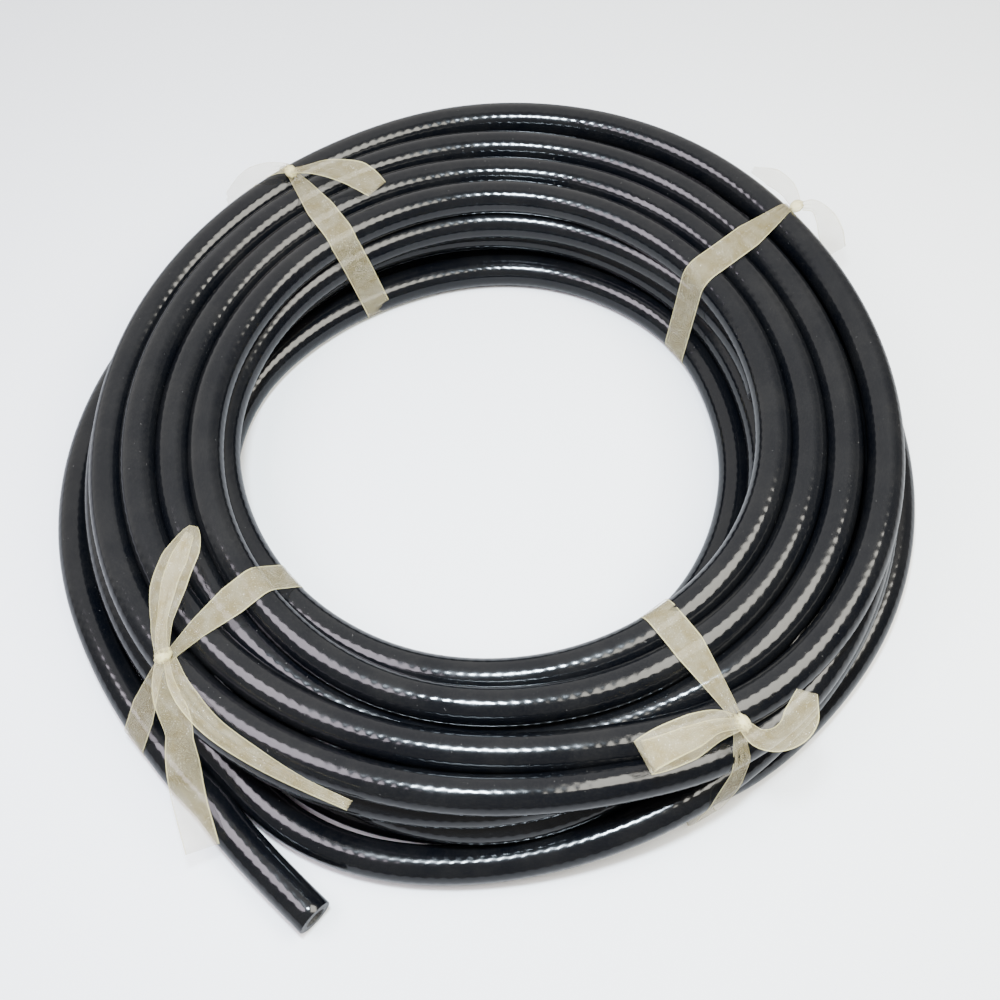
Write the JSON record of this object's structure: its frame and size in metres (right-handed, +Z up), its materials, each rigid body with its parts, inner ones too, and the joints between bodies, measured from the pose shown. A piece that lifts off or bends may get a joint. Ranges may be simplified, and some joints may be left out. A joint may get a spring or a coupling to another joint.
{
  "type": "coil of silicone vacuum hose",
  "caption": "Length of black reinforced silicone vacuum hose wound into a flat round coil with one loose cut end, held by sheer ribbon ties.",
  "frame": {"origin": "the middle of the foot of the whole, on the surface that the coil lies on", "axes": "+Z up, along the coil's axis; the loose end lies towards -Y and -X; the coil's axis stands 5.59 mm from the origin towards +Y"},
  "size_m": [0.3526, 0.3638, 0.0651],
  "materials": {
    "silicone": "glossy, with fine relief of the reinforcement",
    "organza": "sheer, with satin edges"
  },
  "bodies": {
    "root": {"hose_coil": "silicone", "hose_tail": "silicone", "ribbon_back_left": "organza", "ribbon_back_right": "organza", "ribbon_front_left": "organza", "ribbon_front_right": "organza"}
  },
  "joints": []
}
